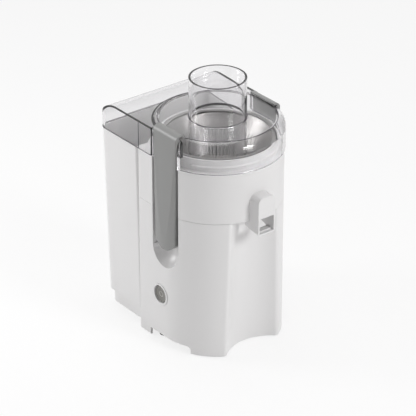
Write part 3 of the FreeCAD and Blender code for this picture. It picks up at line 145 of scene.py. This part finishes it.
# Which paint each node has
PAINTED = {
    "white": ["base_housing", "juice_bowl", "pulp_bin"],
    "clear": ["top_cover", "feed_chute", "bin_hood"],
    "grey": ["left_latch", "right_latch"],
    "button": ["power_button"],
    "dark": ["switch_body", "brush_holders", "carbon_brushes", "cooling_fan", "drive_coupling"],
    "pale": ["base_plate", "basket_hub", "motor_deck"],
    "rubber": ["rubber_feet", "cord_grommet", "shaft_seal", "motor_mounts"],
    "turned": ["cutter_disc", "filter_cone", "basket_rim"],
    "steel": ["base_screws", "motor_bolts", "motor_shaft", "disc_rivets", "latch_pins", "mount_screws"],
    "core": ["field_core", "armature_core"],
    "cast": ["lower_bracket", "upper_bracket"],
    "copper": ["field_coils", "armature_windings"],
    "bronze": ["lower_bearing", "upper_bearing", "commutator"],
}


def make_camera():
    data = bpy.data.cameras.new("camera")
    data.sensor_width = SENSOR
    data.lens = FOCAL_PIXELS * SENSOR / PICTURE_WIDTH
    data.clip_end = VIEW_END
    camera = bpy.data.objects.new("camera", data)
    SCENE.collection.objects.link(camera)
    camera.location = CAMERA_PLACE
    camera.rotation_euler = (math.pi / 2 - CAMERA_PITCH, 0.0, -CAMERA_YAW)
    SCENE.camera = camera


def add_light(name, place, aim, size, power):
    data = bpy.data.lights.new(name, "AREA")
    data.shape = "DISK"
    data.size = size
    data.energy = power
    lamp = bpy.data.objects.new(name, data)
    SCENE.collection.objects.link(lamp)
    lamp.location = place
    lamp.rotation_euler = (Vector(aim) - Vector(place)).to_track_quat("-Z", "Y").to_euler()


def calculate(tree, operation, first, second=0.0):
    """The result of a Math node. Each input is a socket or a number."""
    item = tree.nodes.new("ShaderNodeMath")
    item.operation = operation
    for index, source in enumerate((first, second)):
        if isinstance(source, float):
            item.inputs[index].default_value = source
        else:
            tree.links.new(source, item.inputs[index])
    return item.outputs[0]


def seen_directly(tree):
    """1 for what is seen straight, in a mirror or through glass; 0 for rays that carry light to a surface."""
    path = tree.nodes.new("ShaderNodeLightPath")
    seen = calculate(tree, "MAXIMUM", path.outputs["Is Camera Ray"], path.outputs["Is Glossy Ray"])
    seen = calculate(tree, "MAXIMUM", seen, path.outputs["Is Transmission Ray"])
    straight = calculate(tree, "LESS_THAN", path.outputs["Diffuse Depth"], 0.5)
    return calculate(tree, "MULTIPLY", seen, straight)


def make_world():
    world = bpy.data.worlds.new("studio")
    SCENE.world = world
    world.use_nodes = True
    tree = world.node_tree
    tree.nodes.clear()
    out = tree.nodes.new("ShaderNodeOutputWorld")
    mix = tree.nodes.new("ShaderNodeMixShader")
    tree.links.new(seen_directly(tree), mix.inputs[0])
    for index, (color, strength) in enumerate(((WORLD_TINT, WORLD_LIGHT), (WHITE, 1.0)), 1):
        sky = tree.nodes.new("ShaderNodeBackground")
        sky.inputs["Color"].default_value = color
        sky.inputs["Strength"].default_value = strength
        tree.links.new(sky.outputs[0], mix.inputs[index])
    tree.links.new(mix.outputs[0], out.inputs["Surface"])


def add_sheet(name, corners, color, roughness):
    """A flat sheet of the stage, with its plain material."""
    mesh = bpy.data.meshes.new(name)
    mesh.from_pydata(corners, [], [(0, 1, 2, 3)])
    sheet = bpy.data.objects.new(name, mesh)
    SCENE.collection.objects.link(sheet)
    material = bpy.data.materials.new(f"{name}_paint")
    material.use_nodes = True
    shader = material.node_tree.nodes["Principled BSDF"]
    shader.inputs["Base Color"].default_value = color
    shader.inputs["Roughness"].default_value = roughness
    mesh.materials.append(material)
    return sheet


def make_floor():
    floor = add_sheet("floor", FLOOR_CORNERS, (0.95, 0.95, 0.95, 1.0), 0.6)
    tree = floor.data.materials[0].node_tree
    glow = tree.nodes.new("ShaderNodeEmission")
    glow.inputs["Strength"].default_value = 1.0
    mix = tree.nodes.new("ShaderNodeMixShader")
    tree.links.new(calculate(tree, "MULTIPLY", seen_directly(tree), FLOOR_GLOW), mix.inputs[0])
    tree.links.new(tree.nodes["Principled BSDF"].outputs[0], mix.inputs[1])
    tree.links.new(glow.outputs[0], mix.inputs[2])
    tree.links.new(mix.outputs[0], tree.nodes["Material Output"].inputs["Surface"])


def make_card():
    """A dark card on the right, seen only where glossy edges mirror it."""
    card = add_sheet("card", CARD_CORNERS, (0.03, 0.03, 0.03, 1.0), 0.9)
    card.visible_camera = False
    card.visible_diffuse = False
    card.visible_transmission = False
    card.visible_shadow = False


class Paint:
    """A procedural material: a Principled shader with helpers that feed it."""

    def __init__(self, name, color, roughness, **sockets):
        self.material = bpy.data.materials.new(name)
        self.material.use_nodes = True
        self.tree = self.material.node_tree
        self.shader = self.tree.nodes["Principled BSDF"]
        self.color = color
        self.roughness = roughness
        self.shader.inputs["Base Color"].default_value = (*color, 1.0)
        self.shader.inputs["Roughness"].default_value = roughness
        for socket, amount in sockets.items():
            self.shader.inputs[socket.replace("_", " ")].default_value = amount
        self.place = self.tree.nodes.new("ShaderNodeTexCoord").outputs["Object"]
        self.edge = None

    def add(self, kind, **settings):
        item = self.tree.nodes.new(kind)
        for key, amount in settings.items():
            setattr(item, key, amount)
        return item

    def link(self, start, end):
        self.tree.links.new(start, end)

    def noise(self, scale, detail=3.0, place=None, rough=0.5):
        item = self.add("ShaderNodeTexNoise")
        item.inputs["Scale"].default_value = scale
        item.inputs["Detail"].default_value = detail
        item.inputs["Roughness"].default_value = rough
        self.link(place or self.place, item.inputs["Vector"])
        return item.outputs["Fac"]

    def spread(self, source, start, stop, low, high):
        """The source's range from start to stop, taken to low to high."""
        item = self.add("ShaderNodeMapRange")
        for end, amount in (("From Min", start), ("From Max", stop), ("To Min", low), ("To Max", high)):
            item.inputs[end].default_value = amount
        self.link(source, item.inputs["Value"])
        return item.outputs["Result"]

    def mix_color(self, source, low, high):
        """The low colour where the source is 0, the high one where it is 1."""
        item = self.add("ShaderNodeMix", data_type="RGBA")
        ends = [socket for socket in item.inputs if socket.type == "RGBA"]
        ends[0].default_value = (*low, 1.0)
        ends[1].default_value = (*high, 1.0)
        self.link(source, item.inputs["Factor"])
        mixed = [socket for socket in item.outputs if socket.type == "RGBA"][0]
        self.link(mixed, self.shader.inputs["Base Color"])

    def vary_roughness(self, source, amount):
        low, high = self.roughness - amount, self.roughness + amount
        rough = self.spread(source, NOISE_LOW, NOISE_HIGH, low, high)
        self.link(rough, self.shader.inputs["Roughness"])

    def vary_color(self, source, share):
        dark = [part * (1.0 - share) for part in self.color]
        light = [min(1.0, part * (1.0 + share)) for part in self.color]
        self.mix_color(source, dark, light)

    def rounded_normal(self, radius, samples):
        item = self.add("ShaderNodeBevel", samples=samples)
        item.inputs["Radius"].default_value = radius
        return item.outputs["Normal"]

    def soften(self, radius):
        """Rounds the look of small edges."""
        self.edge = self.rounded_normal(radius, samples=6)
        self.link(self.edge, self.shader.inputs["Normal"])

    def bump(self, source, strength, depth):
        item = self.add("ShaderNodeBump")
        if self.edge:
            self.link(self.edge, item.inputs["Normal"])
        item.inputs["Strength"].default_value = strength
        item.inputs["Distance"].default_value = depth
        self.link(source, item.inputs["Height"])
        self.link(item.outputs["Normal"], self.shader.inputs["Normal"])


def moulded(name, color, roughness, grain=1100.0, strength=0.10):
    """Moulded plastic or rubber: fine grain, slightly uneven gloss and soft edges."""
    paint = Paint(name, color, roughness)
    paint.soften(radius=0.8 * MM)
    paint.vary_roughness(paint.noise(scale=24.0), amount=0.04)
    paint.vary_color(paint.noise(scale=9.0, detail=2.0), share=0.012)
    paint.bump(paint.noise(grain, detail=2.0), strength, depth=0.03 * MM)
    return paint.material


def turned_steel(name, color, roughness):
    """Steel brushed round the spindle."""
    paint = Paint(name, color, roughness, Metallic=1.0, Anisotropic=0.6)
    split = paint.add("ShaderNodeSeparateXYZ")
    paint.link(paint.place, split.inputs[0])
    squares = [calculate(paint.tree, "MULTIPLY", split.outputs[axis], split.outputs[axis]) for axis in "XY"]
    radius = calculate(paint.tree, "SQRT", calculate(paint.tree, "ADD", *squares))
    polar = paint.add("ShaderNodeCombineXYZ")
    paint.link(radius, polar.inputs["X"])
    paint.link(split.outputs["Z"], polar.inputs["Z"])
    streaks = paint.noise(scale=2400.0, detail=4.0, place=polar.outputs[0], rough=0.7)
    paint.vary_roughness(streaks, amount=0.10)
    paint.vary_color(streaks, share=0.22)
    paint.bump(streaks, strength=0.15, depth=0.05 * MM)
    tangent = paint.add("ShaderNodeTangent", direction_type="RADIAL", axis="Z")
    paint.link(tangent.outputs[0], paint.shader.inputs["Tangent"])
    return paint.material


def plain_metal(name, color, roughness):
    """Cast, rolled or drawn metal with a slightly uneven finish."""
    paint = Paint(name, color, roughness, Metallic=1.0)
    paint.vary_roughness(paint.noise(scale=220.0), amount=0.08)
    paint.vary_color(paint.noise(scale=90.0), share=0.08)
    paint.bump(paint.noise(scale=1800.0), strength=0.15, depth=0.04 * MM)
    return paint.material


def clear_plastic(name):
    """Clear plastic with painted shade along its edges, and darker where it is seen edge on."""
    paint = Paint(name, CLEAR_FACE, 0.03, Transmission_Weight=1.0, IOR=1.46)
    flat = paint.add("ShaderNodeNewGeometry")
    likeness = paint.add("ShaderNodeVectorMath", operation="DOT_PRODUCT")
    paint.link(paint.rounded_normal(0.7 * MM, samples=8), likeness.inputs[0])
    paint.link(flat.outputs["Normal"], likeness.inputs[1])
    # Painted shade: the base colour turns dark where the softened normal leaves the flat one, along the edges
    edge = paint.spread(likeness.outputs["Value"], EDGE_SHADE_START, EDGE_SHADE_FULL, 0.0, 1.0)
    paint.mix_color(edge, CLEAR_FACE, CLEAR_EDGE_SHADE)
    paint.bump(paint.noise(scale=45.0, detail=1.0), strength=0.04, depth=0.2 * MM)
    volume = paint.add("ShaderNodeVolumeAbsorption")
    volume.inputs["Color"].default_value = CLEAR_DEPTH
    volume.inputs["Density"].default_value = CLEAR_DENSITY
    paint.link(volume.outputs[0], paint.tree.nodes["Material Output"].inputs["Volume"])
    path = paint.add("ShaderNodeLightPath")
    passed = calculate(paint.tree, "MULTIPLY", path.outputs["Is Shadow Ray"], SHADOW_PASSED)
    paint.link(calculate(paint.tree, "SUBTRACT", 1.0, passed), paint.shader.inputs["Alpha"])
    return paint.material


def make_paints():
    return {
        "white": moulded("white_moulding", (0.83, 0.825, 0.825), 0.32),
        "grey": moulded("grey_moulding", (0.285, 0.287, 0.283), 0.36, grain=1800.0, strength=0.25),
        "button": moulded("button_moulding", (0.215, 0.21, 0.195), 0.36, grain=1800.0, strength=0.2),
        "dark": moulded("dark_moulding", (0.03, 0.03, 0.033), 0.45),
        "pale": moulded("pale_moulding", (0.62, 0.61, 0.58), 0.45),
        "rubber": moulded("soft_rubber", (0.02, 0.02, 0.02), 0.75, grain=900.0, strength=0.4),
        "turned": turned_steel("turned_steel", (0.31, 0.302, 0.295), 0.33),
        "steel": plain_metal("screw_steel", (0.56, 0.56, 0.57), 0.32),
        "core": plain_metal("core_steel", (0.30, 0.30, 0.31), 0.5),
        "cast": plain_metal("cast_aluminium", (0.66, 0.66, 0.67), 0.5),
        "copper": plain_metal("copper_wire", (0.62, 0.25, 0.10), 0.35),
        "bronze": plain_metal("bronze", (0.55, 0.36, 0.16), 0.4),
        "clear": clear_plastic("clear_moulding"),
        # Dark paint of the beads and the hood's trim: painted shade lines along the edges of the clear parts
        "bead": Paint("dark_bead_painted_shade", (0.10, 0.09, 0.105), 0.55, Specular_IOR_Level=0.1).material,
    }


class Form:
    """The mesh of a piece, put together from closed shells. Sizes are in mm."""

    def __init__(self):
        self.verts = []
        self.faces = []

    def add_shell(self, verts, faces):
        start = len(self.verts)
        self.verts += [Vector(vert) * MM for vert in verts]
        self.faces += [tuple(start + corner for corner in face) for face in faces]

    def add_lathe(self, profile, centre, along, sides=72):
        """A turned shell. The profile is (distance along the axis, radius)."""
        axis = Vector(along)
        across = axis.orthogonal().normalized()
        upright = axis.cross(across)
        verts = []
        faces = []
        rings = []
        for reach, radius in profile:
            middle = Vector(centre) + axis * reach
            count = sides if radius else 1
            rings.append(range(len(verts), len(verts) + count))
            for side in range(count):
                angle = 2 * math.pi * side / sides
                verts.append(middle + (across * math.cos(angle) + upright * math.sin(angle)) * radius)
        for first, second in zip(rings, rings[1:]):
            for side in range(sides):
                following = (side + 1) % sides
                corners = [first[side % len(first)], first[following % len(first)],
                           second[following % len(second)], second[side % len(second)]]
                faces.append(tuple(dict.fromkeys(corners)))
        self.add_shell(verts, faces)

    def add_tube(self, path, radius, sides=BEAD_SIDES):
        """A round bead along a path, with closed ends."""
        verts = []
        faces = []
        points = [Vector(point) for point in path]
        for index, point in enumerate(points):
            run = points[min(index + 1, len(points) - 1)] - points[max(index - 1, 0)]
            level = abs(run.z) < run.length / 2
            across = run.cross(Vector((0, 0, 1)) if level else Vector((0, 1, 0))).normalized()
            upright = across.cross(run).normalized()
            for side in range(sides):
                angle = 2 * math.pi * side / sides
                verts.append(point + (across * math.cos(angle) + upright * math.sin(angle)) * radius)
        for start in range(0, len(verts) - sides, sides):
            for side in range(sides):
                following = (side + 1) % sides
                faces.append((start + side, start + following,
                              start + sides + following, start + sides + side))
        faces.append(tuple(reversed(range(sides))))
        faces.append(tuple(range(len(verts) - sides, len(verts))))
        self.add_shell(verts, faces)

    def add_ribbon(self, line, front, back, width, centre):
        """A flat line of the power mark: drawn in (across, up) on the button's face, thick along X."""
        verts = []
        faces = []
        for index, (across, up) in enumerate(line):
            before = Vector(line[max(index - 1, 0)])
            after = Vector(line[min(index + 1, len(line) - 1)])
            run = (after - before).normalized()
            side = Vector((-run.y, run.x)) * width / 2
            for reach in (front, back):
                for sign in (-1, 1):
                    verts.append((reach, centre.y - across - sign * side.x, centre.z + up + sign * side.y))
        for start in range(0, len(verts) - 4, 4):
            low, high, low_back, high_back = range(start, start + 4)
            faces += [(low, high, high + 4, low + 4), (high, high_back, high_back + 4, high + 4),
                      (high_back, low_back, low_back + 4, high_back + 4),
                      (low_back, low, low + 4, low_back + 4)]
        last = len(verts) - 4
        faces += [(0, 2, 3, 1), (last, last + 1, last + 3, last + 2)]
        self.add_shell(verts, faces)

    def finish(self, name, material, body, smooth=True):
        mesh = bpy.data.meshes.new(name)
        mesh.from_pydata(self.verts, [], self.faces)
        mesh.materials.append(material)
        mesh.polygons.foreach_set("use_smooth", [smooth] * len(mesh.polygons))
        piece = bpy.data.objects.new(name, mesh)
        SCENE.collection.objects.link(piece)
        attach(piece, body)
        return piece


def arc(centre, radius, start, stop, steps):
    """Points of an arc in a plane, with its angles in degrees."""
    points = []
    for step in range(steps + 1):
        angle = math.radians(start + (stop - start) * step / steps)
        points.append((centre[0] + radius * math.cos(angle), centre[1] + radius * math.sin(angle)))
    return points


def node_box(name):
    """Low and high corner of a node, in mm."""
    return [Vector(corner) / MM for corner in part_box(name)]


def make_button(material):
    """The push button with its dished face, on the housing's left side."""
    low, high = node_box("power_button")
    face = low.x
    radius = (high.y - low.y) / 2
    rim = radius - BUTTON_EDGE
    base = face + BUTTON_DEPTH
    profile = [(face + depth, reach) for depth, reach in BUTTON_DISH]
    profile += arc((face + BUTTON_EDGE, rim), BUTTON_EDGE, 180, 90, EDGE_STEPS)
    profile += [(base - BUTTON_BEVEL, radius), (base, radius - BUTTON_BEVEL),
                (base, STEM_RADIUS + BUTTON_BEVEL), (base + BUTTON_BEVEL, STEM_RADIUS),
                (high.x - STEM_BEVEL, STEM_RADIUS), (high.x, STEM_RADIUS - STEM_BEVEL), (high.x, 0.0)]
    middle = (low + high) / 2
    form = Form()
    form.add_lathe(profile, (0.0, middle.y, middle.z), (1, 0, 0))
    cap = form.finish("button_cap", material, "button")
    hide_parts("power_button")


def make_power_mark(material):
    """The usual on-off sign: a broken ring and a bar."""
    low, high = node_box("power_button")
    centre = (low + high) / 2
    ring = arc((0.0, 0.0), MARK_RADIUS, MARK_START, MARK_START + MARK_SWEEP, MARK_STEPS)
    form = Form()
    for line in (ring, MARK_BAR):
        form.add_ribbon(line, low.x + MARK_FRONT, low.x + MARK_BACK, MARK_STROKE, centre)
    form.finish("power_mark", material, "button", smooth=False)


def make_feet(material):
    """The rubber feet, with rounded soles and a groove under their shoulders."""
    edge = arc((FOOT_EDGE, FOOT_RADIUS - FOOT_EDGE), FOOT_EDGE, 180, 90, EDGE_STEPS)[1:]
    form = Form()
    for x, y in FOOT_PLACES:
        form.add_lathe([*FOOT_SOLE, *edge, *FOOT_SHOULDER], (x, y, 0.0), (0, 0, 1), FOOT_SIDES)
    feet = form.finish("soft_feet", material, "base")
    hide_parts("rubber_feet")


def make_beads(name, arcs, height, material):
    """Beads round the spindle, in the material given: a moulded rib, or a dark line of painted shade."""
    form = Form()
    for radius, start, stop, thickness in arcs:
        path = [(x, y, height) for x, y in arc((0.0, 0.0), radius, start, stop, BEAD_STEPS)]
        form.add_tube(path, thickness)
    form.finish(name, material, "base")


def make_hood_trim(material):
    """The thin lip along the lower edge of the hood, and the upright rib on each of its sides, drawn as thin
    tubes for dark lines of painted shade.
    """
    low, high = node_box("bin_hood")
    half = high.x
    level = low.z + HOOD_LIP_RISE
    path = [(half, HOOD_LIP_START)]
    for side, start in ((1, 0), (-1, 90)):
        centre = (side * (half - HOOD_CORNER), high.y - HOOD_CORNER)
        path += arc(centre, HOOD_CORNER, start, start + 90, CORNER_STEPS)
    path.append((-half, HOOD_LIP_START))
    form = Form()
    form.add_tube([(x, y, level) for x, y in path], HOOD_TRIM)
    for x in (-half, half):
        form.add_tube([(x, HOOD_RIB, level), (x, HOOD_RIB, high.z - HOOD_RIB_DROP)], HOOD_TRIM)
    form.finish("hood_trim", material, "base")


make_camera()
make_world()
make_floor()
make_card()
for lamp in LAMPS:
    add_light(*lamp)

paints = make_paints()
for paint_name, node_names in PAINTED.items():
    for node_name in node_names:
        NODES[node_name].data.materials.clear()
        NODES[node_name].data.materials.append(paints[paint_name])

make_button(paints["button"])
make_power_mark(paints["pale"])
make_feet(paints["rubber"])
cover_top = node_box("top_cover")[1].z
# Dark beads along the chute and the plate's edge: painted shade lines on the clear cover
make_beads("cover_beads", COVER_ARCS, cover_top, paints["bead"])
# Hood lip and ribs in the same dark paint: painted shade lines on the clear hood
make_hood_trim(paints["bead"])
make_beads("neck_rib", NECK_ARCS, NECK_RIB_LEVEL, paints["white"])
